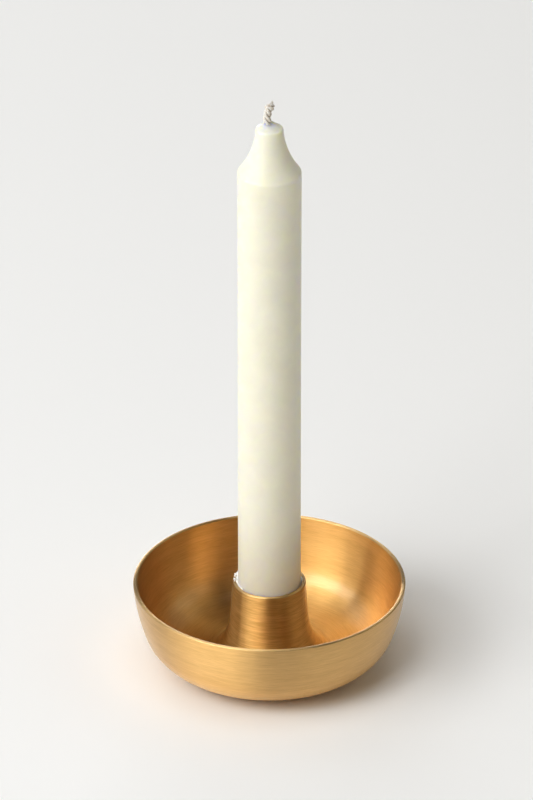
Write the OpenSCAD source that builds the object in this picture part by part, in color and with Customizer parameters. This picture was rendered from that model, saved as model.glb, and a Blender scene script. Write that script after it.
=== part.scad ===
// Round brushed-brass candle holder: a low open dish with a flared socket in
// the middle, and the dinner candle that stands in it.
// Z = 0 is the surface the felt ring stands on, and Z is the common axis.

/* [Dish] */
// Radius of the flat underside of the dish
base_r = 28.6; // [26:0.1:31]
// Outer radius of the rounded corner between underside and side wall
corner_r = 16.4; // [14:0.1:18]
// Slope at which the corner hands over to the side wall, from horizontal
corner_a = 70.5; // [66:0.5:76]
// Radius of the long arc of the side wall
side_r = 68; // [60:1:80]
// Slope of the side wall at the rim, from horizontal
rim_a = 86; // [83:0.5:88]
// Thickness of the spun brass sheet
wall = 1.5; // [1.2:0.1:1.8]
// Rounding of the two edges of the rim
rim_round = 0.5; // [0.3:0.05:0.6]
// Depth of the turned seat that the socket's foot lies in
seat_depth = 0.5; // [0.3:0.1:0.7]

/* [Socket] */
// Outer radius of the socket at its mouth
socket_r = 12.75; // [12.6:0.05:13.2]
// How far the mouth of the socket stands above the rim of the dish
mouth_rise = 0.4; // [0:0.1:0.8]
// Radius of the candle bore
bore_r = 11.4; // [11.3:0.05:11.6]
// Growth of the outer radius per millimetre down the barrel
socket_taper = 0.07; // [0.04:0.01:0.1]
// Width of the flare that runs out into the floor
flare_w = 7.5; // [6:0.1:8]
// Height at which the flare starts above the floor
flare_h = 14; // [10:0.5:16]
// Height of the bore's floor above the underside of the dish
bore_floor = 10.1; // [10.05:0.05:12]
// Rounding of the lip at the mouth
lip_round = 0.35; // [0.2:0.05:0.45]

/* [Fixing] */
// Nominal radius of the fixing screw
screw_r = 2; // [2:0.5:2]
// Length of the screw under its head
screw_len = 8; // [7:0.5:8]
// Height of the screw's button head
head_h = 2.2; // [2:0.1:2.4]
// Radius of the screw's head and of the split washer
head_r = 3.8; // [3.6:0.1:4]
// Thickness of the split washer and of the flat washer
washer_t = 0.8; // [0.7:0.05:0.8]
// Thickness of the raised disc that the screw clamps
disc_t = 1.2; // [1:0.1:1.3]

/* [Felt ring] */
// Thickness of the felt
felt_t = 1.15; // [1:0.05:2]
// Thickness of its adhesive film
glue_t = 0.15; // [0.1:0.05:0.2]
// Outer radius of the felt
felt_r = 27; // [24:0.5:28]
// Inner radius of the felt, round the screw's recess
felt_hole_r = 9; // [8.5:0.5:12]

/* [Candle] */
// Radius of the candle
candle_r = 11; // [10.8:0.05:11]
// Length of the wax, from foot to the top of its crown
candle_len = 200; // [150:1:250]
// Reduction of the radius at the foot
foot_taper = 0.35; // [0:0.05:0.6]
// Height of the tapered foot
foot_h = 14; // [5:1:20]
// Radius of the crown where its top cone starts
crown_r = 4.85; // [4:0.05:6]
// Radius of the long concave arc of the crown
crown_arc = 28.5; // [24:0.5:34]
// Height of the cone on top of the crown
cone_h = 3.2; // [2:0.1:4]
// Radius of the waxed wick
wick_r = 1.2; // [1:0.05:1.4]
// Length of wick above the wax
wick_len = 7.1; // [5:0.1:15]

/* [Hidden] */
$fn = 96;

pad = felt_t + glue_t;                  // underside of the dish above the table
floor_z = wall;                         // inside floor, from the underside
head_z = -0.2;                          // lower face of the screw's head
under_head = head_z + head_h;
disc_z = under_head + 2 * washer_t;     // ceiling of the screw's recess
web_z = disc_z + disc_t;                // underside of the socket's web
seat_z = wall - seat_depth;

// one arc of the dish's section, offset inwards by off
function corner_arc(off, n) = [for (i = [0:n]) let (a = corner_a * i / n)
    [base_r + (corner_r - off) * sin(a), corner_r - (corner_r - off) * cos(a)]];
side_cx = base_r + corner_r * sin(corner_a) - side_r * sin(corner_a);
side_cz = corner_r * (1 - cos(corner_a)) + side_r * cos(corner_a);
function side_arc(off, n, a1) = [for (i = [1:n]) let (a = corner_a + (a1 - corner_a) * i / n)
    [side_cx + (side_r - off) * sin(a), side_cz - (side_r - off) * cos(a)]];
rim_z = side_cz - side_r * cos(rim_a);
rim_r = side_cx + side_r * sin(rim_a);
function round_arc(cx, cz, r, a0, a1, n) = [for (i = [0:n]) let (a = a0 + (a1 - a0) * i / n)
    [cx + r * cos(a), cz + r * sin(a)]];
function rev(p) = [for (i = [len(p) - 1:-1:0]) p[i]];

// barrel and flare of the socket: outer radius at a height above the underside
mouth_z = rim_z + mouth_rise;
function flare_r(z) = let (q = max(0, (flare_h - (z - floor_z)) / flare_h))
    socket_r + socket_taper * (mouth_z - z) + flare_w * (1 - sqrt(max(0, 1 - q * q)));
foot_r = flare_r(floor_z);

candle_z = bore_floor + 0.05;           // foot of the candle
candle_top = candle_z + candle_len;

module dish() color("#C99A52") translate([0, 0, pad]) rotate_extrude()
    polygon(concat(
        // recess for the screw's head, seen from below
        [[screw_r + 0.25, disc_z], [5.6, disc_z], [5.9, disc_z - 0.4], [6.5, 0.5], [6.9, 0]],
        // outside
        corner_arc(0, 28), side_arc(0, 16, rim_a - 0.4),
        // rim
        round_arc(rim_r - rim_round - 0.02, rim_z - rim_round, rim_round, 0, 90, 5),
        round_arc(rim_r - wall + rim_round + 0.06, rim_z - rim_round, rim_round, 90, 180, 5),
        // inside
        rev(side_arc(wall, 16, rim_a - 0.4)), rev(corner_arc(wall, 28)),
        // seat for the socket's foot and the raised disc
        [[foot_r + 0.05, floor_z], [foot_r + 0.05, seat_z], [8.0, seat_z], [7.6, seat_z + 0.4],
         [7.1, web_z - 0.5], [6.6, web_z], [screw_r + 0.25, web_z]]));

module socket() color("#B98440") translate([0, 0, pad]) rotate_extrude()
    polygon(concat(
        // hollow underside
        [[screw_r + 0.02, web_z], [8.2, web_z], [11.5, web_z - 0.2], [15.4, 3.6], [18.2, 2.0], [19.4, seat_z]],
        // foot, flare and barrel
        [[foot_r, seat_z]],
        [for (i = [0:40]) let (t = i / 40, z = floor_z + (mouth_z - lip_round - floor_z) * t * t * (1.6 - 0.6 * t)) [flare_r(z), z]],
        // lip and bore
        round_arc(socket_r - lip_round, mouth_z - lip_round, lip_round, 20, 90, 4),
        [[bore_r + 0.3, mouth_z], [bore_r, mouth_z - 0.3], [bore_r, bore_floor + 0.5],
         [bore_r - 0.5, bore_floor], [screw_r + 0.02, bore_floor]]));

module hex_key(af, h) cylinder(r = af / 2 / cos(30), h = h, $fn = 6);

module socket_screw() color("#9A9A98") translate([0, 0, pad]) difference() {
    rotate_extrude() polygon(concat(
        [[0, head_z], [head_r * 0.55, head_z]],
        [for (i = [1:8]) let (a = 90 * i / 8) [head_r * (0.55 + 0.45 * sin(a)), head_z + (head_h - 0.3) * (1 - cos(a))]],
        [[head_r, under_head], [screw_r - 0.02, under_head],
         [screw_r - 0.02, under_head + screw_len - 0.5], [screw_r - 0.5, under_head + screw_len],
         [0, under_head + screw_len]]));
    translate([0, 0, head_z - 0.5]) hex_key(2.5, 1.8);
}

module ring(r_out, r_in, h) difference() {
    cylinder(r = r_out, h = h);
    translate([0, 0, -1]) cylinder(r = r_in, h = h + 2);
}

module lock_washer() color("#8C8C8A") translate([0, 0, pad + under_head]) difference() {
    ring(head_r, screw_r + 0.1, washer_t);
    translate([2.9, 0, washer_t / 2]) rotate([25, 0, 0]) cube([3, 0.7, 4], center = true);
}

module flat_washer() color("#A8A8A4") translate([0, 0, pad + under_head + washer_t])
    ring(4.5, screw_r + 0.15, washer_t);

module pad_adhesive() color("#E8E4D4") translate([0, 0, felt_t])
    ring(felt_r - 0.2, felt_hole_r + 0.2, glue_t);

module felt_ring() color("#3A332C") rotate_extrude() polygon([
    [felt_hole_r, 0.1], [felt_hole_r + 0.1, 0], [felt_r - 0.3, 0], [felt_r, 0.3],
    [felt_r, felt_t], [felt_hole_r, felt_t]]);

// crown: the wax above the straight body, as radius and depth below its top
arc_a0 = 5;
arc_a1 = 37.4;
crown_edge_z = candle_top - cone_h - 1.3;   // where the concave arc ends at the top
function crown_pt(a) = [crown_r + crown_arc * (cos(arc_a0) - cos(a)),
                        crown_edge_z - crown_arc * (sin(a) - sin(arc_a0))];
shoulder = crown_pt(arc_a1);
shoulder_arc = (candle_r - shoulder[0]) / (1 - cos(arc_a1));

module candle_wax() color("#F3EFDF") translate([0, 0, pad]) rotate_extrude()
    polygon(concat(
        [[wick_r + 0.05, candle_z], [candle_r - foot_taper - 0.8, candle_z],
         [candle_r - foot_taper - 0.23, candle_z + 0.23], [candle_r - foot_taper, candle_z + 0.8],
         [candle_r, candle_z + foot_h]],
        [for (i = [0:6]) let (a = arc_a1 * i / 6)
            [candle_r - shoulder_arc * (1 - cos(a)), shoulder[1] - shoulder_arc * (sin(arc_a1) - sin(a))]],
        [for (i = [1:16]) crown_pt(arc_a1 + (arc_a0 - arc_a1) * i / 16)],
        [[crown_r - 0.02, candle_top - cone_h - 0.5], [crown_r - 0.15, candle_top - cone_h - 0.1],
         [crown_r - 0.45, candle_top - cone_h + 0.25], [wick_r + 0.5, candle_top - 0.35],
         [wick_r + 0.05, candle_top]]));

// bare end of the wick: it leans one way, then the other, and ends in a point
function wick_pt(s) = [1.0 * s * s - 1.9 * s * (1 - s) * (1 - s), 0.35 * sin(200 * s) * s, s * wick_len];
function wick_girth(s) = (s < 0.82 ? 1 + 0.1 * sin(1150 * s) : 1.05 * sqrt(max(0.04, (1.03 - s) / 0.21)));
wick_rings = 16;
wick_sides = 12;
module wick() color("#E9E2D0") translate([0, 0, pad]) {
    translate([0, 0, candle_z + 0.5]) cylinder(r = wick_r, h = candle_len - 0.1, $fn = 24);
    translate([0, 0, candle_top + 0.2]) polyhedron(
        points = [for (i = [0:wick_rings], k = [0:wick_sides - 1])
            let (s = i / wick_rings, p = wick_pt(s), r = wick_r * 0.98 * wick_girth(s), a = 360 * k / wick_sides)
            [p[0] + r * cos(a), p[1] + r * sin(a), p[2]]],
        faces = concat(
            [[for (k = [0:wick_sides - 1]) k]],
            [for (i = [0:wick_rings - 1], k = [0:wick_sides - 1])
                [i * wick_sides + k, (i + 1) * wick_sides + k, (i + 1) * wick_sides + (k + 1) % wick_sides, i * wick_sides + (k + 1) % wick_sides]],
            [[for (k = [wick_sides - 1:-1:0]) wick_rings * wick_sides + k]]));
}

// wax scraped up by the mouth of the bore when the candle is pressed home
module wax_collar() color("#FAF8F0") translate([0, 0, pad]) rotate_extrude()
    polygon([[candle_r + 0.06, mouth_z - 2.2], [candle_r + 0.2, mouth_z - 2.2],
             [bore_r - 0.04, mouth_z - 1.8], [bore_r - 0.04, mouth_z - 0.3],
             [bore_r + 0.3, mouth_z + 0.04], [bore_r + 0.62, mouth_z + 0.04],
             [bore_r + 0.7, mouth_z + 0.2], [bore_r + 0.45, mouth_z + 0.5],
             [candle_r + 0.35, mouth_z + 0.62], [candle_r + 0.06, mouth_z + 0.5]]);

dish();
socket();
socket_screw();
lock_washer();
flat_washer();
pad_adhesive();
felt_ring();
candle_wax();
wick();
wax_collar();
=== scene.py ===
import math
import random

import bmesh
import bpy
import numpy as np
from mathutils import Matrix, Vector


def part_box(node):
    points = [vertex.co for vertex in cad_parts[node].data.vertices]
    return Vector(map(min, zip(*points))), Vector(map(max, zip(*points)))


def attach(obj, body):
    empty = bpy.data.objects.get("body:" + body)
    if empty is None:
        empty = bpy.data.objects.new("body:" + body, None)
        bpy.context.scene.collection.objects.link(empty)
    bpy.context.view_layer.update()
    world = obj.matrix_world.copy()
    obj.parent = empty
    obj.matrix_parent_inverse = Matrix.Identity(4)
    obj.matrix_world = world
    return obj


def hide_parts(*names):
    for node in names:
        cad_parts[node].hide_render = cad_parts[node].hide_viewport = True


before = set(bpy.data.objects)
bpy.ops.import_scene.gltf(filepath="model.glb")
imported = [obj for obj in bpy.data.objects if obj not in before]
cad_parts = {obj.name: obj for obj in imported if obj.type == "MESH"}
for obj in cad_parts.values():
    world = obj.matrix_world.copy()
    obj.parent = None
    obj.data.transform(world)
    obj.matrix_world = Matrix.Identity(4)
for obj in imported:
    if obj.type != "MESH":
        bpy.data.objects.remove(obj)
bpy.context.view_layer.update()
MM = 0.001

# ------------------------------------------------------------------ sizes, in millimetres, read from the frame's boxes
dish_lo, dish_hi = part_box("dish")
sock_lo, sock_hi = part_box("socket")
wax_lo, wax_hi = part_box("candle_wax")
wick_lo, wick_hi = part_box("wick")
felt_lo, felt_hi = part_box("felt_ring")
PAD = dish_lo.z / MM                      # underside of the dish
RIM_Z = dish_hi.z / MM - PAD              # rim above the underside
WAX_Z0, WAX_Z1 = wax_lo.z / MM, wax_hi.z / MM
CANDLE_R = wax_hi.x / MM
FELT_R = felt_hi.x / MM
FELT_T = felt_hi.z / MM
MOUTH_Z = sock_hi.z / MM - PAD

BASE_R, CORNER_R, CORNER_A, SIDE_R, RIM_A, WALL = 28.6, 16.4, 70.5, 68.0, 86.0, 1.5
RIM_ROUND = 0.5
SOCKET_R, BORE_R, TAPER, FLARE_W, FLARE_H, LIP = 12.75, 11.4, 0.07, 7.5, 14.0, 0.35
BORE_FLOOR = 10.1
FLOOR_Z, SEAT_Z, DISC_Z, WEB_Z = 1.5, 1.0, 3.6, 4.8
SCREW_R = 2.0
CROWN_R, CROWN_ARC, CONE_H = 4.85, 28.5, 3.2
WICK_R = 1.2


def sind(a):
    return math.sin(math.radians(a))


def cosd(a):
    return math.cos(math.radians(a))


# ------------------------------------------------------------------ small tools
def resample(points, step):
    """The polyline with its points no further apart than step, corners kept."""
    out = [points[0]]
    for (r0, z0), (r1, z1) in zip(points, points[1:]):
        n = max(1, int(math.ceil(math.hypot(r1 - r0, z1 - z0) / step)))
        for i in range(1, n + 1):
            out.append((r0 + (r1 - r0) * i / n, z0 + (z1 - z0) * i / n))
    return out


def waves(seed, n, k, f):
    """n waves round the axis (whole numbers up to k) and along the outline (up to f per millimetre)."""
    rng = random.Random(seed)
    return [
        (rng.randint(0, k), rng.uniform(-f, f), rng.uniform(0, 2 * math.pi), rng.uniform(0.4, 1.0))
        for _ in range(n)
    ]


def wave_sum(terms, theta, s):
    total = np.zeros(np.broadcast(theta, s).shape)
    for k, f, p, a in terms:
        total += a * np.cos(k * theta + 2 * math.pi * f * s + p)
    return total / math.sqrt(len(terms))


def lathe(name, outline, segments, closed=True, shift=None, along=None):
    """A mesh turned about Z from an outline of (radius, height) in millimetres, walked with the solid on its left.
    shift(theta, s, r, z) gives (dr, dz) in millimetres. Its attribute turn_s is the length along the outline."""
    pts = list(outline)
    s, acc = [0.0], 0.0
    for (r0, z0), (r1, z1) in zip(pts, pts[1:]):
        acc += math.hypot(r1 - r0, z1 - z0)
        s.append(acc)
    n, m = len(pts), segments
    theta = np.arange(m) * 2 * math.pi / m
    R = np.array([p[0] for p in pts])[:, None] * np.ones((1, m))
    Z = np.array([p[1] for p in pts])[:, None] * np.ones((1, m))
    S = np.array(s)[:, None] * np.ones((1, m))
    T = np.ones((n, 1)) * theta[None, :]
    if shift is not None:
        dr, dz = shift(T, S, R, Z)
        R, Z = R + dr, Z + dz
    X, Y = R * np.cos(T), R * np.sin(T)
    co = np.stack([X, Y, Z], -1).reshape(-1, 3) * MM
    faces = []
    last = n if closed else n - 1
    for i in range(last):
        a, b = i, (i + 1) % n
        for j in range(m):
            k = (j + 1) % m
            faces.append((a * m + j, a * m + k, b * m + k, b * m + j))
    me = bpy.data.meshes.new(name)
    me.from_pydata([tuple(c) for c in co], [], faces)
    me.polygons.foreach_set("use_smooth", [True] * len(me.polygons))
    att = me.attributes.new("turn_s", "FLOAT", "POINT")
    att.data.foreach_set("value", S.reshape(-1).astype(np.float32))
    me.update()
    ob = bpy.data.objects.new(name, me)
    bpy.context.scene.collection.objects.link(ob)
    bm = bmesh.new()
    bm.from_mesh(me)
    bm.normal_update()
    if bm.calc_volume(signed=True) < 0:
        bmesh.ops.reverse_faces(bm, faces=bm.faces[:])
    # ring edges where the outline turns sharply stay crisp
    for e in bm.edges:
        if len(e.link_faces) == 2 and e.calc_face_angle(0.0) > math.radians(38):
            e.smooth = False
    bm.to_mesh(me)
    bm.free()
    return ob


def mesh_piece(name, verts, faces, smooth=True):
    me = bpy.data.meshes.new(name)
    me.from_pydata(verts, [], faces)
    me.polygons.foreach_set("use_smooth", [smooth] * len(me.polygons))
    me.update()
    ob = bpy.data.objects.new(name, me)
    bpy.context.scene.collection.objects.link(ob)
    return ob


def tube(points, radii, sides, verts, faces, phase=0.0, tip=True):
    """Adds a tube along points, in millimetres, to verts and faces."""
    pts = [Vector(p) for p in points]
    base = len(verts)
    up = Vector((0.31, 0.95, 0.05))
    rings = []
    for i, p in enumerate(pts):
        d = (pts[min(i + 1, len(pts) - 1)] - pts[max(i - 1, 0)]).normalized()
        x = up - d * up.dot(d)
        x = x.normalized() if x.length > 1e-6 else d.orthogonal().normalized()
        up = x
        y = d.cross(x)
        ring = []
        for k in range(sides):
            a = 2 * math.pi * k / sides + phase
            q = p + (x * math.cos(a) + y * math.sin(a)) * radii[i]
            ring.append(len(verts))
            verts.append(tuple(q * MM))
        rings.append(ring)
    for a, b in zip(rings, rings[1:]):
        for k in range(sides):
            j = (k + 1) % sides
            faces.append((a[k], a[j], b[j], b[k]))
    faces.append(tuple(reversed(rings[0])))
    faces.append(tuple(rings[-1]))
    return base


# ------------------------------------------------------------------ materials
class Nodes:
    def __init__(self, name):
        self.m = bpy.data.materials.new(name)
        self.m.use_nodes = True
        self.t = self.m.node_tree
        self.t.nodes.clear()
        self.out = self.t.nodes.new("ShaderNodeOutputMaterial")
        self.bsdf = self.t.nodes.new("ShaderNodeBsdfPrincipled")
        self.t.links.new(self.bsdf.outputs[0], self.out.inputs[0])

    def node(self, kind, **values):
        n = self.t.nodes.new(kind)
        for k, v in values.items():
            setattr(n, k, v)
        return n

    def link(self, a, b):
        self.t.links.new(a, b)

    def set(self, socket, value):
        self.bsdf.inputs[socket].default_value = value

    def math(self, op, a, b=None, c=None, clamp=False):
        n = self.node("ShaderNodeMath", operation=op, use_clamp=clamp)
        for i, v in enumerate((a, b, c)):
            if v is None:
                continue
            if isinstance(v, (int, float)):
                n.inputs[i].default_value = v
            else:
                self.link(v, n.inputs[i])
        return n.outputs[0]

    def noise(self, vector, scale, detail=2.0, rough=0.5, dist=0.0):
        n = self.node("ShaderNodeTexNoise")
        n.inputs["Scale"].default_value = scale
        n.inputs["Detail"].default_value = detail
        n.inputs["Roughness"].default_value = rough
        n.inputs["Distortion"].default_value = dist
        self.link(vector, n.inputs["Vector"])
        return n.outputs["Fac"]

    def ramp(self, fac, stops):
        n = self.node("ShaderNodeValToRGB")
        cr = n.color_ramp
        while len(cr.elements) < len(stops):
            cr.elements.new(0.5)
        for e, (p, c) in zip(cr.elements, stops):
            e.position = p
            e.color = (*c, 1.0) if len(c) == 3 else c
        self.link(fac, n.inputs[0])
        return n.outputs[0]

    def mix(self, fac, a, b, kind="MIX"):
        n = self.node("ShaderNodeMix", data_type="RGBA", blend_type=kind)
        for i, v in ((0, fac), (6, a), (7, b)):
            if isinstance(v, (int, float)):
                n.inputs[i].default_value = v
            elif isinstance(v, tuple):
                n.inputs[i].default_value = (*v, 1.0) if len(v) == 3 else v
            else:
                self.link(v, n.inputs[i])
        return n.outputs[2]

    def bump(self, height, distance, strength=1.0, normal=None):
        n = self.node("ShaderNodeBump")
        n.inputs["Strength"].default_value = strength
        n.inputs["Distance"].default_value = distance
        self.link(height, n.inputs["Height"])
        if normal is not None:
            self.link(normal, n.inputs["Normal"])
        return n.outputs[0]


def spun_vector(m, around, across, offset=0.0, wander=0.0):
    """Coordinates that run slowly round the axis and quickly along the outline, in 1/mm: streaks round the piece.
    With wander, in millimetres, the streaks drift up and down the outline and so cross those of another layer."""
    tc = m.node("ShaderNodeTexCoord")
    sep = m.node("ShaderNodeSeparateXYZ")
    m.link(tc.outputs["Object"], sep.inputs[0])
    at = m.node("ShaderNodeAttribute", attribute_name="turn_s", attribute_type="GEOMETRY")
    com = m.node("ShaderNodeCombineXYZ")
    m.link(m.math("MULTIPLY", sep.outputs[0], around * 1000), com.inputs[0])
    m.link(m.math("MULTIPLY", sep.outputs[1], around * 1000), com.inputs[1])
    s = at.outputs["Fac"]
    if wander:
        drift = m.noise(tc.outputs["Object"], 38.0, 1.0, 0.5)
        s = m.math("ADD", s, m.math("MULTIPLY_ADD", drift, wander, -0.5 * wander))
    m.link(m.math("MULTIPLY_ADD", s, across, offset), com.inputs[2])
    return com.outputs[0]


def brass(name, base=(0.87, 0.56, 0.21), rough=0.42, aniso=1.0, fine=1.0, contrast=1.0, edge=None, polish=0.08):
    m = Nodes(name)
    m.set("Metallic", 1.0)
    m.set("Anisotropic", aniso)
    m.set("Anisotropic Rotation", 0.25)
    m.set("Coat Weight", 0.85)
    m.set("Coat Roughness", 0.22)
    m.set("Coat IOR", 1.5)
    tan = m.node("ShaderNodeTangent", direction_type="RADIAL", axis="Z")
    m.link(tan.outputs[0], m.bsdf.inputs["Tangent"])
    hair = m.noise(spun_vector(m, 0.20, 5.2), 1.0, 3.0, 0.6)                  # hairlines of the brushing
    ring = m.noise(spun_vector(m, 0.045, 1.4, 60.0), 1.0, 3.0, 0.55)          # turned rings under them
    line = m.noise(spun_vector(m, 0.13, 2.9, 40.0, 6.0), 1.0, 3.0, 0.6)       # short lines a third of a millimetre apart
    cross = m.noise(spun_vector(m, 0.14, 2.6, 140.0, -6.0), 1.0, 3.0, 0.6)    # the same, drifting the other way
    band = m.noise(spun_vector(m, 0.018, 0.45, 90.0), 1.0, 2.0, 0.5)          # broad bands of the spinning
    tc = m.node("ShaderNodeTexCoord")
    cloud = m.noise(tc.outputs["Object"], 55.0, 3.0, 0.55, 0.3)               # handling and lacquer
    two = m.math("ADD", m.math("MULTIPLY", line, 0.5), m.math("MULTIPLY", cross, 0.5))
    tint = m.math("ADD", m.math("MULTIPLY", hair, 0.30), m.math("ADD", m.math("MULTIPLY", two, 0.50), m.math("MULTIPLY", band, 0.20)))
    k = contrast
    dark = tuple(c * (1 - k * d) for c, d in zip(base, (0.17, 0.25, 0.38)))
    light = tuple(min(1.0, c * (1 + k * d)) for c, d in zip(base, (0.12, 0.15, 0.24)))
    col = m.ramp(tint, [(0.38, dark), (0.62, light)])
    col = m.mix(m.math("MULTIPLY", m.math("SUBTRACT", cloud, 0.5, clamp=True), 0.5), col, tuple(c * q for c, q in zip(base, (0.9, 0.82, 0.66))))
    ro = m.math("MULTIPLY_ADD", two, 0.16, rough - 0.12)
    ro = m.math("ADD", ro, m.math("MULTIPLY", cloud, 0.08))
    if edge is not None:
        # the rim or lip is rubbed smoother than the brushed faces, and its colour there is painted paler and brighter,
        # a painted highlight along the edge
        sep = m.node("ShaderNodeSeparateXYZ")
        m.link(tc.outputs["Object"], sep.inputs[0])
        wear_and_highlight = m.math("MULTIPLY", m.math("SUBTRACT", sep.outputs[2], edge * MM), 4000.0, clamp=True)
        col = m.mix(m.math("MULTIPLY", wear_and_highlight, 0.7), col, (0.92, 0.64, 0.29))
        ro = m.math("SUBTRACT", ro, m.math("MULTIPLY", wear_and_highlight, polish))
    m.link(col, m.bsdf.inputs["Base Color"])
    m.link(ro, m.bsdf.inputs["Roughness"])
    n1 = m.bump(hair, 0.000010 * fine)
    n2 = m.bump(ring, 0.000016 * fine, normal=n1)
    m.link(n2, m.bsdf.inputs["Normal"])
    return m.m


def wax_material(name, base=(0.862, 0.840, 0.725), deep=0.0055):
    m = Nodes(name)
    tc = m.node("ShaderNodeTexCoord")
    cloud = m.noise(tc.outputs["Object"], 90.0, 3.0, 0.5, 0.4)
    fine = m.noise(tc.outputs["Object"], 900.0, 3.0, 0.6)
    col = m.ramp(cloud, [(0.3, tuple(c * 0.97 for c in base)), (0.7, tuple(min(1.0, c * 1.02) for c in base))])
    m.link(col, m.bsdf.inputs["Base Color"])
    m.set("Subsurface Weight", 1.0 if deep else 0.0)
    m.set("Subsurface Radius", (1.0, 0.87, 0.30))
    m.set("Subsurface Scale", deep)
    m.link(m.math("MULTIPLY_ADD", cloud, 0.15, 0.33), m.bsdf.inputs["Roughness"])
    m.set("IOR", 1.44)
    m.link(m.bump(fine, 0.00002, normal=m.bump(cloud, 0.0002)), m.bsdf.inputs["Normal"])
    return m.m


def cotton_material(name):
    m = Nodes(name)
    tc = m.node("ShaderNodeTexCoord")
    n = m.noise(tc.outputs["Object"], 1500.0, 3.0, 0.6)
    big = m.noise(tc.outputs["Object"], 260.0, 2.0, 0.5)
    pale = m.ramp(m.math("ADD", m.math("MULTIPLY", n, 0.5), m.math("MULTIPLY", big, 0.5)), [(0.33, (0.74, 0.68, 0.58)), (0.60, (0.93, 0.90, 0.85))])
    # painted shade: a brown mixed in by the shade attribute, darker between the strands and on the right side of the
    # cut end
    painted_shade_brown = m.ramp(n, [(0.3, (0.20, 0.12, 0.06)), (0.7, (0.42, 0.30, 0.18))])
    at = m.node("ShaderNodeAttribute", attribute_name="shade", attribute_type="GEOMETRY")
    deep = m.math("MULTIPLY", at.outputs["Fac"], m.math("MULTIPLY_ADD", big, 0.8, 0.5), clamp=True)
    m.link(m.mix(deep, pale, painted_shade_brown), m.bsdf.inputs["Base Color"])
    m.set("Roughness", 0.75)
    m.set("Sheen Weight", 0.2)
    m.set("Subsurface Weight", 0.3)
    m.set("Subsurface Radius", (1.0, 0.8, 0.6))
    m.set("Subsurface Scale", 0.0003)
    m.link(m.bump(n, 0.00006), m.bsdf.inputs["Normal"])
    return m.m


def felt_material(name):
    m = Nodes(name)
    tc = m.node("ShaderNodeTexCoord")
    n = m.noise(tc.outputs["Object"], 3600.0, 4.0, 0.72, 3.5)
    big = m.noise(tc.outputs["Object"], 260.0, 3.0, 0.6)
    col = m.ramp(m.math("ADD", m.math("MULTIPLY", n, 0.6), m.math("MULTIPLY", big, 0.4)), [(0.35, (0.018, 0.014, 0.012)), (0.7, (0.075, 0.062, 0.052))])
    m.link(col, m.bsdf.inputs["Base Color"])
    m.set("Roughness", 0.95)
    m.set("Sheen Weight", 0.5)
    m.set("Sheen Roughness", 0.5)
    m.link(m.bump(n, 0.00025), m.bsdf.inputs["Normal"])
    return m.m


def steel_material(name, tone=(0.60, 0.60, 0.585)):
    m = Nodes(name)
    m.set("Metallic", 1.0)
    tc = m.node("ShaderNodeTexCoord")
    n = m.noise(tc.outputs["Object"], 700.0, 3.0, 0.6)
    cloud = m.noise(tc.outputs["Object"], 300.0, 2.0, 0.5, 0.5)
    col = m.ramp(cloud, [(0.35, tuple(c * 0.88 for c in tone)), (0.65, tone)])
    m.link(col, m.bsdf.inputs["Base Color"])
    m.link(m.math("MULTIPLY_ADD", n, 0.22, 0.22), m.bsdf.inputs["Roughness"])
    m.link(m.bump(n, 0.00001), m.bsdf.inputs["Normal"])
    return m.m


def film_material(name):
    m = Nodes(name)
    tc = m.node("ShaderNodeTexCoord")
    n = m.noise(tc.outputs["Object"], 900.0, 3.0, 0.6)
    col = m.ramp(n, [(0.3, (0.62, 0.58, 0.46)), (0.7, (0.74, 0.71, 0.60))])
    m.link(col, m.bsdf.inputs["Base Color"])
    m.link(m.math("MULTIPLY_ADD", n, 0.3, 0.25), m.bsdf.inputs["Roughness"])
    m.link(m.bump(n, 0.00002), m.bsdf.inputs["Normal"])
    return m.m


def give(ob, material, body=None, replaces=()):
    ob.data.materials.clear()
    ob.data.materials.append(material)
    if body:
        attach(ob, body)
    if replaces:
        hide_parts(*replaces)
    return ob


# ------------------------------------------------------------------ dish
def corner(off, a0, a1, n):
    return [
        (BASE_R + (CORNER_R - off) * sind(a0 + (a1 - a0) * i / n), CORNER_R - (CORNER_R - off) * cosd(a0 + (a1 - a0) * i / n))
        for i in range(n + 1)
    ]


SIDE_CX = BASE_R + CORNER_R * sind(CORNER_A) - SIDE_R * sind(CORNER_A)
SIDE_CZ = CORNER_R * (1 - cosd(CORNER_A)) + SIDE_R * cosd(CORNER_A)


def side(off, a0, a1, n):
    return [
        (SIDE_CX + (SIDE_R - off) * sind(a0 + (a1 - a0) * i / n), SIDE_CZ - (SIDE_R - off) * cosd(a0 + (a1 - a0) * i / n))
        for i in range(n + 1)
    ]


def rounding(cx, cz, r, a0, a1, n):
    return [(cx + r * cosd(a0 + (a1 - a0) * i / n), cz + r * sind(a0 + (a1 - a0) * i / n)) for i in range(n + 1)]


RIM_R = SIDE_CX + SIDE_R * sind(RIM_A)


def flare_r(z):
    q = max(0.0, (FLARE_H - (z - FLOOR_Z)) / FLARE_H)
    return SOCKET_R + TAPER * (MOUTH_Z - z) + FLARE_W * (1 - math.sqrt(max(0.0, 1 - q * q)))


FOOT_R = flare_r(FLOOR_Z)


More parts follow.
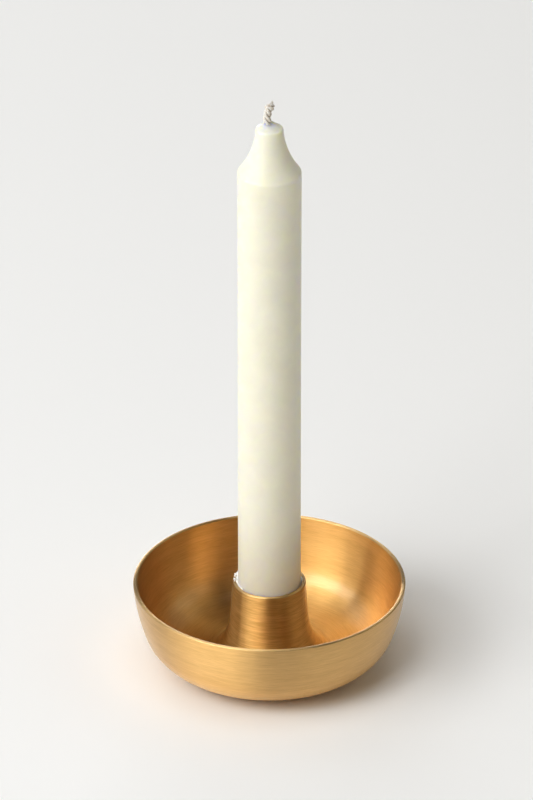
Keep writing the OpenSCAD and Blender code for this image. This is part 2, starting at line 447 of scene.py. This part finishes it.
def make_dish():
    inner = list(reversed(side(WALL, CORNER_A, RIM_A - 0.4, 60))) + list(reversed(corner(WALL, 0, CORNER_A, 60)))[1:]
    pts = (
        resample([(6.95, 0.03), (7.2, 0.0), (BASE_R, 0.0)], 1.0)
        + corner(0, 0, CORNER_A, 64)[1:]
        + side(0, CORNER_A, RIM_A - 0.4, 60)[1:]
        + rounding(RIM_R - RIM_ROUND - 0.02, RIM_Z - RIM_ROUND, RIM_ROUND, 6, 90, 7)
        + rounding(RIM_R - WALL + RIM_ROUND + 0.06, RIM_Z - RIM_ROUND, RIM_ROUND, 90, 174, 7)
        + inner
        + resample([(BASE_R, FLOOR_Z), (FOOT_R + 0.012, FLOOR_Z)], 0.35)[1:]
        + [(FOOT_R + 0.012, FLOOR_Z - 0.1), (FOOT_R + 0.012, SEAT_Z), (15.0, SEAT_Z), (8.0, SEAT_Z), (7.6, SEAT_Z + 0.4), (7.1, WEB_Z - 0.5),
           (6.6, WEB_Z), (SCREW_R + 0.25, WEB_Z), (SCREW_R + 0.25, DISC_Z + 0.1), (SCREW_R + 0.35, DISC_Z), (5.5, DISC_Z), (5.7, DISC_Z - 0.1), (5.9, DISC_Z - 0.4), (6.5, 0.5), (6.88, 0.1)]
    )
    pts = [(r, z + PAD) for r, z in pts]
    ring = random.Random(11)
    n = len(pts)
    jitter = np.array([ring.gauss(0, 1) for _ in range(n)])[:, None]
    slow = waves(3, 18, 5, 0.05)
    fine = waves(5, 26, 9, 0.55)

    def shift(T, S, R, Z):
        # traces of spinning and brushing: rings a fraction of a millimetre apart and a few microns high, and a hand-spun waver
        a = 0.0016 * jitter + 0.004 * wave_sum(fine, T, S) * 0.5 + 0.012 * wave_sum(slow, T, S) * 0.5
        open_wall = (R > 23.0) & (Z > PAD + 1.2)
        a = np.where(open_wall, a, 0.0)
        edge = Z > PAD + RIM_Z - 0.6
        a = np.where(edge, a * 0.25, a)
        # moved along the wall's own normal, near enough: outwards on the side, up on the floor
        steep = np.clip((Z - PAD - 1.5) / 14.0, 0, 1)
        return a * steep, a * (1 - steep)

    return lathe("dish_brass", pts, 240, shift=shift)


def make_socket():
    pts = [
        (SCREW_R + 0.02, WEB_Z), (8.2, WEB_Z), (11.5, WEB_Z - 0.2), (15.4, 3.6), (18.2, 2.0), (19.4, SEAT_Z), (FOOT_R - 0.05, SEAT_Z), (FOOT_R, SEAT_Z + 0.08),
    ]
    n = 110
    for i in range(n + 1):
        t = i / n
        z = FLOOR_Z + (MOUTH_Z - LIP - FLOOR_Z) * t * t * (1.6 - 0.6 * t)
        pts.append((flare_r(z), z))
    pts += rounding(SOCKET_R - LIP, MOUTH_Z - LIP, LIP, 12, 90, 6)
    pts += [(BORE_R + 0.42, MOUTH_Z - 0.005), (BORE_R + 0.3, MOUTH_Z - 0.03), (BORE_R + 0.03, MOUTH_Z - 0.27), (BORE_R, MOUTH_Z - 0.36)]
    pts += resample([(BORE_R, MOUTH_Z - 0.36), (BORE_R, BORE_FLOOR + 0.5)], 1.0)[1:]
    pts += [(BORE_R - 0.5, BORE_FLOOR), (SCREW_R + 0.3, BORE_FLOOR), (SCREW_R + 0.02, BORE_FLOOR - 0.28)]
    pts = [(r, z + PAD) for r, z in pts]
    ring = random.Random(29)
    jitter = np.array([ring.gauss(0, 1) for _ in pts])[:, None]
    slow = waves(31, 12, 4, 0.06)
    fine = waves(37, 22, 9, 0.6)

    def shift(T, S, R, Z):
        a = 0.0016 * jitter + 0.002 * wave_sum(fine, T, S) + 0.006 * wave_sum(slow, T, S)
        out = (R > SOCKET_R - 0.1) & (Z > PAD + 1.55) & (Z < PAD + MOUTH_Z - 0.5)
        a = np.where(out, a, 0.0)
        return a, 0 * a

    return lathe("socket_brass", pts, 192, shift=shift)


# ------------------------------------------------------------------ candle
def crown_outline(top, n):
    """From the straight body to the foot of the top cone, going up."""
    edge_z = top - CONE_H - 1.3
    a0, a1 = 5.0, 37.4
    pt = lambda a: (CROWN_R + CROWN_ARC * (cosd(a0) - cosd(a)), edge_z - CROWN_ARC * (sind(a) - sind(a0)))
    sh = pt(a1)
    arc = (CANDLE_R - sh[0]) / (1 - cosd(a1))
    out = [(CANDLE_R - arc * (1 - cosd(a1 * i / 10)), sh[1] - arc * (sind(a1) - sind(a1 * i / 10))) for i in range(11)]
    out += [pt(a1 + (a0 - a1) * i / n) for i in range(1, n + 1)]
    return out


def make_candle():
    top = WAX_Z1
    r = CANDLE_R
    body_top = crown_outline(top, 40)
    ridge = top - 29.2
    pts = [(WICK_R + 0.05, WAX_Z0), (9.6, WAX_Z0), (10.1, WAX_Z0 + 0.12), (10.42, WAX_Z0 + 0.4), (10.6, WAX_Z0 + 0.8)]
    pts += resample([(10.6, WAX_Z0 + 0.8), (r - 0.012, WAX_Z0 + 14.0)], 1.6)[1:]
    pts += resample([(r - 0.012, WAX_Z0 + 14.0), (r - 0.012, ridge - 0.9)], 1.6)[1:]
    pts += [(r - 0.011, ridge - 0.5), (r - 0.006, ridge - 0.15), (r - 0.001, ridge + 0.15), (r, ridge + 0.6)]
    pts += resample([(r, ridge + 0.6), (r, body_top[0][1] - 0.3)], 1.0)[1:]
    pts += body_top
    cr = CROWN_R
    edge = top - CONE_H
    cone = [(-0.03, -0.8), (-0.12, -0.34), (-0.28, -0.06), (-0.52, 0.14), (-0.95, 0.40), (-1.65, 0.90), (-2.25, 1.42), (-2.85, 1.93), (-3.3, 2.33),
            (-3.65, 2.66), (-3.85, 2.95), (-3.95, 3.12)]
    pts += resample([(cr + a, edge + b) for a, b in cone], 0.3)
    pts += [(0.82, top - 0.06), (0.80, top - 0.4), (0.80, top - 1.5), (WICK_R + 0.05, top - 4.0)]
    pts += [(WICK_R + 0.05, top - 6.0), (WICK_R + 0.05, WAX_Z0 + 20.0)]
    slow = waves(71, 14, 3, 0.012)
    fine = waves(73, 20, 7, 0.10)
    tip = waves(79, 14, 4, 0.2)

    def shift(T, S, R, Z):
        skin = (R > WICK_R + 0.6) | (Z > top - 1.0)
        a = -0.02 * np.abs(wave_sum(slow, T, S)) - 0.006 * np.abs(wave_sum(fine, T, S))
        crown = np.clip((Z - (top - 22.0)) / 6.0, 0, 1)
        a = a * (1 - 0.6 * crown)
        up = np.clip((Z - (top - CONE_H + 0.2)) / 0.8, 0, 1)
        a = a + up * 0.09 * wave_sum(tip, T, S) * np.clip((R - WICK_R) / 1.5, 0, 1)
        a = np.where(skin, a, 0.0)
        a = np.where((R > 10.5), np.minimum(a, 0.0), a)
        a = np.where(Z < WAX_Z0 + 0.9, 0.0, a)
        # the wax climbs the wick at the right and the back and lies lower at the front
        rise = np.clip((Z - (top - CONE_H)) / CONE_H, 0, 1) * np.clip((Z - (top - 2.0 * CONE_H)) / CONE_H, 0, 1)
        low = 0.20 + 0.20 * np.cos(T - math.radians(265)) + 0.06 * np.cos(2 * T + 1.0)
        dz = -CONE_H * rise * np.clip(low, 0, 1) * np.where(Z > top - CONE_H, 1.0, 0.0)
        return a, dz + np.where(skin & (up > 0.5), 0.04 * wave_sum(tip, T, S + 3.0) - 0.04, 0.0)

    ob = lathe("candle_ivory", pts, 128, shift=shift)
    # the wick leaves the cone beside the axis, so the top of the cone leans over to it
    for v in ob.data.vertices:
        z = v.co.z / MM
        t = min(1.0, max(0.0, (z - (top - CONE_H)) / (0.55 * CONE_H)))
        r = math.hypot(v.co.x, v.co.y) / MM
        if z > top - 4.2 and r < 2.0:
            t = max(t, min(1.0, (z - (top - 4.2)) / 1.2))
        w = t * t * (3 - 2 * t) * min(1.0, max(0.0, (3.6 - r) / 2.4))
        v.co.x -= 0.74 * MM * w
    ob.data.update()
    return ob


# the bare end of the wick, as millimetres from the axis and above the wax
WICK_LINE = [(-0.74, 0.0, -3.0), (-0.76, 0.0, -2.0), (-0.80, 0.0, -1.0), (-0.80, 0.02, 0.0), (-0.74, 0.06, 1.1), (-0.62, 0.08, 2.1), (-0.38, 0.06, 3.1),
             (-0.04, 0.0, 4.0), (0.22, -0.04, 4.8), (0.30, -0.06, 5.5)]


def spline(points, t):
    """Catmull-Rom through points, t from 0 to 1."""
    n = len(points) - 1
    x = min(max(t, 0.0), 1.0) * n
    i = min(int(x), n - 1)
    u = x - i
    p = [Vector(points[min(max(i + k, 0), n)]) for k in (-1, 0, 1, 2)]
    return 0.5 * ((2 * p[1]) + (p[2] - p[0]) * u + (2 * p[0] - 5 * p[1] + 4 * p[2] - p[3]) * u * u + (3 * p[1] - p[0] - 3 * p[2] + p[3]) * u ** 3)


def make_wick():
    rng = random.Random(5)
    verts, faces = [], []
    top = WAX_Z1
    # inside the wax: one plain round core, seen only at the foot of the candle
    core = [(0, 0, WAX_Z0 + 0.5), (0, 0, WAX_Z0 + 60), (0, 0, WAX_Z0 + 120), (0, 0, top - 6.0), (-0.4, 0, top - 4.2), (-0.74, 0, top - 2.8)]
    tube(core, [WICK_R * 0.98] * 4 + [0.9, 0.7], 20, verts, faces)
    strands, yarns, rings = 3, 9, 72
    for k in range(strands):
        ph = 2 * math.pi * k / strands + 0.5
        for y in range(yarns):
            inner = y == 0
            ya = 2 * math.pi * (y - 1) / (yarns - 1)
            pts, rad = [], []
            flare = rng.uniform(0.2, 1.0)
            stop = 1.0 - rng.uniform(0.0, 0.05) - (0.05 if k == 1 else 0.0)
            swell = rng.uniform(0.9, 1.12)
            for i in range(rings + 1):
                t = stop * i / rings
                c = spline(WICK_LINE, t)
                # three strands laid round each other, opening out where the wick was cut
                w = -2 * math.pi * t * 1.45 + ph
                open_tip = max(0.0, (t - 0.66) / 0.34)
                knot = math.exp(-(((t - 0.90) / 0.10) ** 2))
                reach = 0.70 + 0.36 * open_tip ** 1.4 + 0.20 * knot
                off = Vector((math.cos(w), 0.85 * math.sin(w), 0.0)) * reach
                tw = 2 * math.pi * t * 3.4 + ya + k
                spread = 0.50 + 0.17 * open_tip * flare
                sub = Vector((math.cos(tw), math.sin(tw), 0.0)) * (0.0 if inner else spread)
                p = c + off + sub + Vector((0, 0, top))
                pts.append(tuple(p))
                end = max(0.0, (i / rings - 0.93) / 0.07)
                rad.append((0.42 if inner else 0.25 * swell) * (1.0 - 0.6 * end ** 1.5) * (1.0 + 0.10 * math.sin(11 * t + ya)))
            tube(pts, rad, 7, verts, faces)
    solid = len(verts)
    # cotton fibres: a loose tuft at the cut end and a few along the side
    lim = wick_hi.z / MM - 0.03
    for f in range(90):
        tuft = f < 52
        t0 = rng.uniform(0.93, 1.0) if tuft else rng.uniform(0.40, 0.98)
        c = spline(WICK_LINE, t0)
        a = rng.uniform(0, 2 * math.pi)
        if tuft:
            q = rng.uniform(0, 1)
            start = c + Vector((0.25 + math.cos(a) * 0.75, math.sin(a) * 0.55, 0)) + Vector((0, 0, top))
            goal = Vector((rng.gauss(0.98, 0.22), rng.gauss(0, 0.25), top + rng.uniform(6.2, 7.25))) if q < 0.6 else start + Vector((math.cos(a), math.sin(a), 0.7)) * rng.uniform(0.4, 0.9)
        else:
            start = c + Vector((math.cos(a) * 1.0, math.sin(a) * 0.9, 0)) + Vector((0, 0, top))
            goal = start + Vector((math.cos(a), math.sin(a), rng.uniform(-0.2, 0.9))).normalized() * rng.uniform(0.25, 0.6)
        bend = Vector((rng.uniform(-1, 1), rng.uniform(-1, 1), rng.uniform(-0.3, 0.6))) * (0.30 if tuft else 0.2)
        pts = []
        for i in range(8):
            u = i / 7
            p = start + (goal - start) * u + bend * (4 * u * (1 - u) * 0.6)
            p.z = min(p.z, lim)
            pts.append(tuple(p))
        thick = 0.055 if tuft else 0.026
        tube(pts, [thick * (1 - 0.65 * i / 7) for i in range(8)], 5, verts, faces)
    ob = mesh_piece("wick_cotton", verts, faces)
    # painted shade: how deep each point lies between the strands, and the right side of the cut end away from the
    # lights, both painted darker brown
    shade = []
    for i, (x, y, z) in enumerate(verts):
        if i >= solid:
            shade.append(0.08)
            continue
        x, y, z = x / MM, y / MM, z / MM - top
        t = min(max((z + 3.0) / 8.5, 0.0), 1.0)
        c = spline(WICK_LINE, t)
        r = math.hypot(x - c.x, y - c.y)
        open_tip = max(0.0, (t - 0.66) / 0.34)
        inside = 1.0 - min(1.0, max(0.0, (r - 0.45 - 0.1 * open_tip) / 0.75))
        # painted shade on the right side of the cut end, where less light falls
        side = min(1.0, max(0.0, (x - c.x) / 1.1)) * min(1.0, max(0.0, (t - 0.25) / 0.4)) * (1.0 if z < 5.6 else 0.0)
        shade.append(min(1.0, inside * (1.0 - 0.45 * open_tip) + 0.50 * side))
    att = ob.data.attributes.new("shade", "FLOAT", "POINT")
    att.data.foreach_set("value", shade)
    return ob


# ------------------------------------------------------------------ wax scraped up at the mouth of the socket
def make_collar():
    """A ring of wax whose section changes round the candle: fat and crumbled at the left and the back, thin at the front
    left, and sunk in the gap at the front and the right. 0 degrees is the right, 90 the back, 180 the left."""
    m, n = 300, 18
    mouth = MOUTH_Z + PAD
    w1, w2, w3 = waves(91, 10, 9, 0.0), waves(93, 16, 30, 0.0), waves(95, 14, 70, 0.0)
    verts, faces = [], []

    def hump(deg, at, half):
        d = (deg - at + 180) % 360 - 180
        return math.exp(-((d / half) ** 2))

    for j in range(m):
        th = 2 * math.pi * j / m
        deg = math.degrees(th) % 360
        f = 0.95 * hump(deg, 163, 17) + 0.62 * hump(deg, 128, 22) + 0.45 * hump(deg, 85, 25) + 0.40 * hump(deg, 194, 13) + 0.30 * hump(deg, 216, 14) + 0.50 * hump(deg, 6, 8)
        a = np.array([th])
        z = np.zeros(1)
        lump = float(wave_sum(w1, a, z)[0]) * 0.24 + float(wave_sum(w2, a, z)[0]) * 0.26 + float(wave_sum(w3, a, z)[0]) * 0.12
        f = min(1.05, max(0.0, f * (1.0 + 0.9 * lump) + 0.35 * lump * min(1.0, 2 * f)))
        crest = mouth - 1.7 + 2.9 * f ** 0.6 if f > 0.02 else mouth - 1.7
        reach = 0.10 + 1.05 * f
        foot = mouth - 2.15
        if reach > BORE_R - CANDLE_R - 0.08:       # rests on the lip
            edge_z = mouth + 0.02
        else:
            edge_z = min(crest - 0.1, mouth - 0.45)
        crest = max(crest, edge_z + 0.05)
        for i in range(n):
            u = i / n
            if u < 0.62:                       # over the top, from the candle outwards
                q = math.pi * u / 0.62
                rr = CANDLE_R + 0.04 + reach * (0.5 - 0.5 * math.cos(q))
                zz = edge_z + (crest - edge_z) * max(0.0, math.sin(0.5 * math.pi + 0.5 * q)) ** 0.7
                bumpy = 0.08 * f * math.sin(7 * q + 5 * th) * math.sin(q)
                rr, zz = rr + bumpy * 0.6, max(zz + bumpy, edge_z)
            else:                              # back down in the gap
                v = (u - 0.62) / 0.38
                if v < 0.4:
                    rr = min(CANDLE_R + 0.04 + reach, BORE_R - 0.02) - 0.03 * v
                    zz = min(edge_z, mouth - 0.4) - (min(edge_z, mouth - 0.4) - foot) * v / 0.4
                else:
                    rr = CANDLE_R + 0.04
                    zz = foot + (crest - foot) * (v - 0.4) / 0.6 * 0.8
            verts.append((rr * math.cos(th) * MM, rr * math.sin(th) * MM, zz * MM))
    for j in range(m):
        k = (j + 1) % m
        for i in range(n):
            q = (i + 1) % n
            faces.append((j * n + i, j * n + q, k * n + q, k * n + i))
    # crumbs
    rng = random.Random(17)
    for c in range(44):
        if c < 26:
            deg, rr, size = rng.gauss(170, 11), rng.uniform(CANDLE_R + 0.45, SOCKET_R - 0.15), rng.uniform(0.16, 0.42)
        elif c < 34:
            deg, rr, size = rng.uniform(90, 150), rng.uniform(CANDLE_R + 0.5, SOCKET_R - 0.4), rng.uniform(0.12, 0.3)
        elif c < 40:
            deg, rr, size = rng.gauss(203, 12), rng.uniform(CANDLE_R + 0.2, CANDLE_R + 0.6), rng.uniform(0.08, 0.17)
        else:
            deg, rr, size = rng.gauss(9, 6), rng.uniform(CANDLE_R + 0.3, CANDLE_R + 0.8), rng.uniform(0.10, 0.2)
        th = math.radians(deg)
        cz = mouth + size * 0.5 + (rng.uniform(0.0, 0.75) if c < 20 and rr < CANDLE_R + 1.1 else 0.0)
        base = len(verts)
        rot, squash = rng.uniform(0, math.pi), rng.uniform(0.7, 1.3)
        nu, nv = 11, 8

        def crumb(az, el):
            k = size * (1 + 0.24 * math.sin(3 * az + rot) * math.cos(el) + 0.15 * math.cos(5 * el + 2 * az + rot) + 0.10 * math.sin(7 * az + 4 * el))
            x = rr * math.cos(th) + k * squash * math.cos(el) * math.cos(az + rot)
            y = rr * math.sin(th) + k / squash * math.cos(el) * math.sin(az + rot)
            return (x * MM, y * MM, max(mouth + 0.01, cz + k * 0.8 * math.sin(el)) * MM)

        verts.append(crumb(0.0, -math.pi / 2))
        for b in range(1, nv):
            for a_ in range(nu):
                verts.append(crumb(2 * math.pi * a_ / nu, -math.pi / 2 + math.pi * b / nv))
        verts.append(crumb(0.0, math.pi / 2))
        end = len(verts) - 1
        for a_ in range(nu):
            b_ = (a_ + 1) % nu
            faces.append((base, base + 1 + b_, base + 1 + a_))
            for b in range(nv - 2):
                r0, r1 = base + 1 + b * nu, base + 1 + (b + 1) * nu
                faces.append((r0 + a_, r0 + b_, r1 + b_, r1 + a_))
            r0 = base + 1 + (nv - 2) * nu
            faces.append((r0 + a_, r0 + b_, end))
    ob = mesh_piece("wax_scrapings", verts, faces)
    bm = bmesh.new()
    bm.from_mesh(ob.data)
    bmesh.ops.recalc_face_normals(bm, faces=bm.faces[:])
    bm.to_mesh(ob.data)
    bm.free()
    return ob


# ------------------------------------------------------------------ felt
def make_felt():
    r_in = 9.0
    r_out, t = FELT_R, FELT_T
    pts = [(r_in + 0.15, 0.0)] + resample([(r_in + 0.15, 0.0), (r_out - 0.3, 0.0)], 0.5)[1:]
    pts += [(r_out - 0.12, 0.06), (r_out - 0.02, 0.2), (r_out, 0.45), (r_out, 0.8), (r_out - 0.02, t)]
    pts += resample([(r_out - 0.02, t), (r_in + 0.05, t)], 3.0)[1:]
    pts += [(r_in, 0.9), (r_in, 0.5), (r_in + 0.02, 0.2)]
    a = waves(111, 40, 140, 2.2)
    b = waves(113, 24, 30, 0.4)

    def shift(T, S, R, Z):
        fuzz = 0.035 * wave_sum(a, T, S) + 0.02 * wave_sum(b, T, S)
        low = Z < 0.1
        edge = (R > r_out - 0.35) | (R < r_in + 0.2)
        return np.where(edge, np.clip(fuzz, -0.12, 0.0), 0.0), np.where(low, np.clip(np.abs(fuzz), 0.0, 0.1), 0.0)

    return lathe("felt_pad", pts, 288, shift=shift)


# above edge the colour is painted paler, a painted highlight on the dish rim and the socket lip; on the lip the
# roughness is also lowered for rubbed wear
BRASS = brass("brushed_brass_spun", contrast=0.7, edge=RIM_Z + PAD - 0.45, polish=0.0)
BRASS2 = brass("brushed_brass_turned", rough=0.48, contrast=1.3, edge=MOUTH_Z + PAD - 0.42)
WAX = wax_material("ivory_wax")
WAX2 = wax_material("scraped_wax", base=(0.90, 0.89, 0.855), deep=0.0)
COTTON = cotton_material("waxed_cotton")
FELT = felt_material("wool_felt")
STEEL = steel_material("zinc_steel")
STEEL2 = steel_material("zinc_steel_washer", (0.66, 0.66, 0.64))
FILM = film_material("adhesive_film")

dish = give(make_dish(), BRASS, "holder", ["dish"])
socket = give(make_socket(), BRASS2, "holder", ["socket"])
felt = give(make_felt(), FELT, "holder", ["felt_ring"])
candle = give(make_candle(), WAX, "candle", ["candle_wax"])
wick = give(make_wick(), COTTON, "candle", ["wick"])
collar = give(make_collar(), WAX2, "collar", ["wax_collar"])
for node, mat, slot_name in (
    ("socket_screw", STEEL, "steel"),
    ("lock_washer", STEEL2, "steel"),
    ("flat_washer", STEEL2, "steel"),
    ("pad_adhesive", FILM, "adhesive"),
):
    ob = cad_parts[node]
    ob.data.materials.clear()
    ob.data.materials.append(mat)

# ------------------------------------------------------------------ floor, light and camera
floor_me = bpy.data.meshes.new("floor")
floor_me.from_pydata([(-6, -6, 0), (6, -6, 0), (6, 6, 0), (-6, 6, 0)], [], [(0, 1, 2, 3)])
floor = bpy.data.objects.new("floor", floor_me)
bpy.context.scene.collection.objects.link(floor)
fm = Nodes("floor_pale")
fm.set("Base Color", (0.94, 0.94, 0.935, 1))
fm.set("Roughness", 0.9)
fm.set("Specular IOR Level", 0.2)
floor_me.materials.append(fm.m)

world = bpy.data.worlds.new("studio")
bpy.context.scene.world = world
world.use_nodes = True
wt = world.node_tree
bg = wt.nodes["Background"]
bg.inputs[0].default_value = (1, 1, 1, 1)
bg.inputs[1].default_value = 0.045


def softbox(name, azimuth, elevation, distance, width, height, power, tint=(1, 1, 1), aim=(0, 0, 0.06)):
    """Azimuth 0 is behind the camera (towards -Y), and 90 is the right."""
    d = Vector((sind(azimuth) * cosd(elevation), -cosd(azimuth) * cosd(elevation), sind(elevation)))
    li = bpy.data.lights.new(name, "AREA")
    li.shape = "RECTANGLE"
    li.size, li.size_y = width, height
    li.energy = power
    li.color = tint
    ob = bpy.data.objects.new(name, li)
    ob.location = Vector(aim) + d * distance
    ob.rotation_euler = d.to_track_quat("Z", "Y").to_euler()
    bpy.context.scene.collection.objects.link(ob)
    return ob


WARM = (1.0, 0.94, 0.76)
softbox("key_wide", -62, 36, 2.6, 2.92, 1.20, 38.4)
softbox("key_middle", -60, 35, 2.6, 1.24, 1.20, 12.4)
softbox("key_high", -34, 60, 2.6, 1.10, 1.00, 12.4)
softbox("back_low", -174, 10, 2.6, 1.50, 1.00, 22.4)
softbox("back_left", -130, 35, 2.6, 1.80, 1.20, 8.2)
softbox("right", 90, 35, 2.6, 2.00, 1.20, 5.6, WARM)
softbox("right_low", 45, 10, 2.6, 2.00, 1.00, 3.3, WARM)
softbox("right_back", 135, 35, 2.6, 2.00, 1.20, 3.2, WARM)
softbox("front_low", -24, 8, 2.6, 1.30, 0.80, 5.6)
softbox("overhead", 0, 88, 2.6, 1.40, 1.40, 12.0)

cam = bpy.data.cameras.new("camera")
cam.lens = 338.1
cam.sensor_width = 36.0
cam.clip_start, cam.clip_end = 0.1, 20
cam_ob = bpy.data.objects.new("camera", cam)
PITCH, DIST = 28.98, 2.600
AIM = Vector((-0.0010, 0.0, 0.10274))
cam_ob.location = AIM + Vector((0, -DIST * cosd(PITCH), DIST * sind(PITCH)))
cam_ob.rotation_euler = (math.radians(90 - PITCH), 0, 0)
bpy.context.scene.collection.objects.link(cam_ob)
bpy.context.scene.camera = cam_ob

vs = bpy.context.scene.view_settings
vs.view_transform = "Standard"
vs.look = "None"
vs.exposure = 0.0
vs.gamma = 0.9
